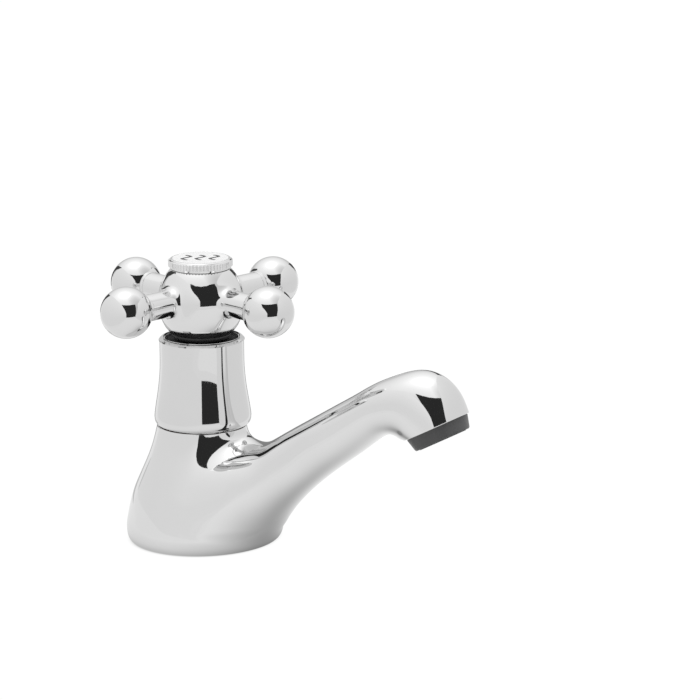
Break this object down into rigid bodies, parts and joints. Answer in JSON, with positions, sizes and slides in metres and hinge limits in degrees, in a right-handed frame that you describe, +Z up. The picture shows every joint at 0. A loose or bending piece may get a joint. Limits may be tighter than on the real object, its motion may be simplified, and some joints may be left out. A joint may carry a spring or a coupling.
{
  "type": "basin tap",
  "caption": "Chrome basin pillar tap with a flared base, a swept spout that ends in a dark nozzle, and a cross handle with ball ends on a conical shroud.",
  "frame": {"origin": "on the handle's axis at the deck plane, where the base stands, in the middle of the inlet bore", "axes": "+Z up along the handle's axis, +X along the spout towards its mouth, +Y to the left of the spout seen from behind the tap"},
  "size_m": [0.1312, 0.075, 0.1391],
  "materials": {
    "body_chrome": "mirror chrome plate on a brass casting",
    "shroud_chrome": "mirror chrome plate",
    "handle_chrome": "mirror chrome plate",
    "cap_chrome": "mirror chrome plate with a coin edge",
    "brass": "machined brass",
    "steel": "turned stainless steel",
    "rubber": "moulded rubber",
    "nylon": "moulded white nylon",
    "fibre": "red vulcanised fibre",
    "black_plastic": "moulded black plastic",
    "nozzle_plastic": "satin dark grey plastic",
    "insert_plastic": "moulded grey plastic"
  },
  "bodies": {
    "tap": {"tap_body": "body_chrome", "tail_shank": "brass", "base_seal": "rubber", "bonnet_washer": "fibre", "bonnet": "brass", "thrust_washer": "nylon", "shroud": "shroud_chrome", "shroud_bush": "black_plastic", "outlet_nozzle": "nozzle_plastic", "nozzle_o_ring": "rubber", "flow_straightener": "insert_plastic"},
    "handle": {"handle_hub": "handle_chrome", "handle_balls": "handle_chrome", "index_cap": "cap_chrome", "handle_screw": "steel", "screw_washer": "steel", "spline_insert": "black_plastic", "spindle": "brass", "spindle_o_rings": "rubber", "spindle_circlip": "steel"},
    "plunger": {"valve_plunger": "brass", "jumper_washer": "rubber", "washer_screw": "brass"},
    "clamp": {"clamp_washer": "nylon"},
    "nut": {"backnut": "brass"}
  },
  "joints": [
    {"name": "handle_turn", "type": "hinge", "parent": "tap", "child": "handle", "pos_m": [0, 0, 0.0767], "axis": [0, 0, 1], "range_deg": [0, 900]},
    {"name": "valve_lift", "type": "slide", "parent": "tap", "child": "plunger", "axis": [0, 0, 1], "range_m": [0, 0.00502]},
    {"name": "washer_slide", "type": "slide", "parent": "tap", "child": "clamp", "axis": [0, 0, 1], "range_m": [-0.0055, 0.01]},
    {"name": "backnut_turn", "type": "hinge", "parent": "clamp", "child": "nut", "pos_m": [0, 0, -0.0238], "axis": [0, 0, 1], "range_deg": [-1080, 1980]}
  ],
  "couplings": [
    {"joint": "valve_lift", "follows": "handle_turn", "m_per_rad": 0.00031831},
    {"joint": "washer_slide", "follows": "backnut_turn", "m_per_rad": 0.00028871}
  ]
}
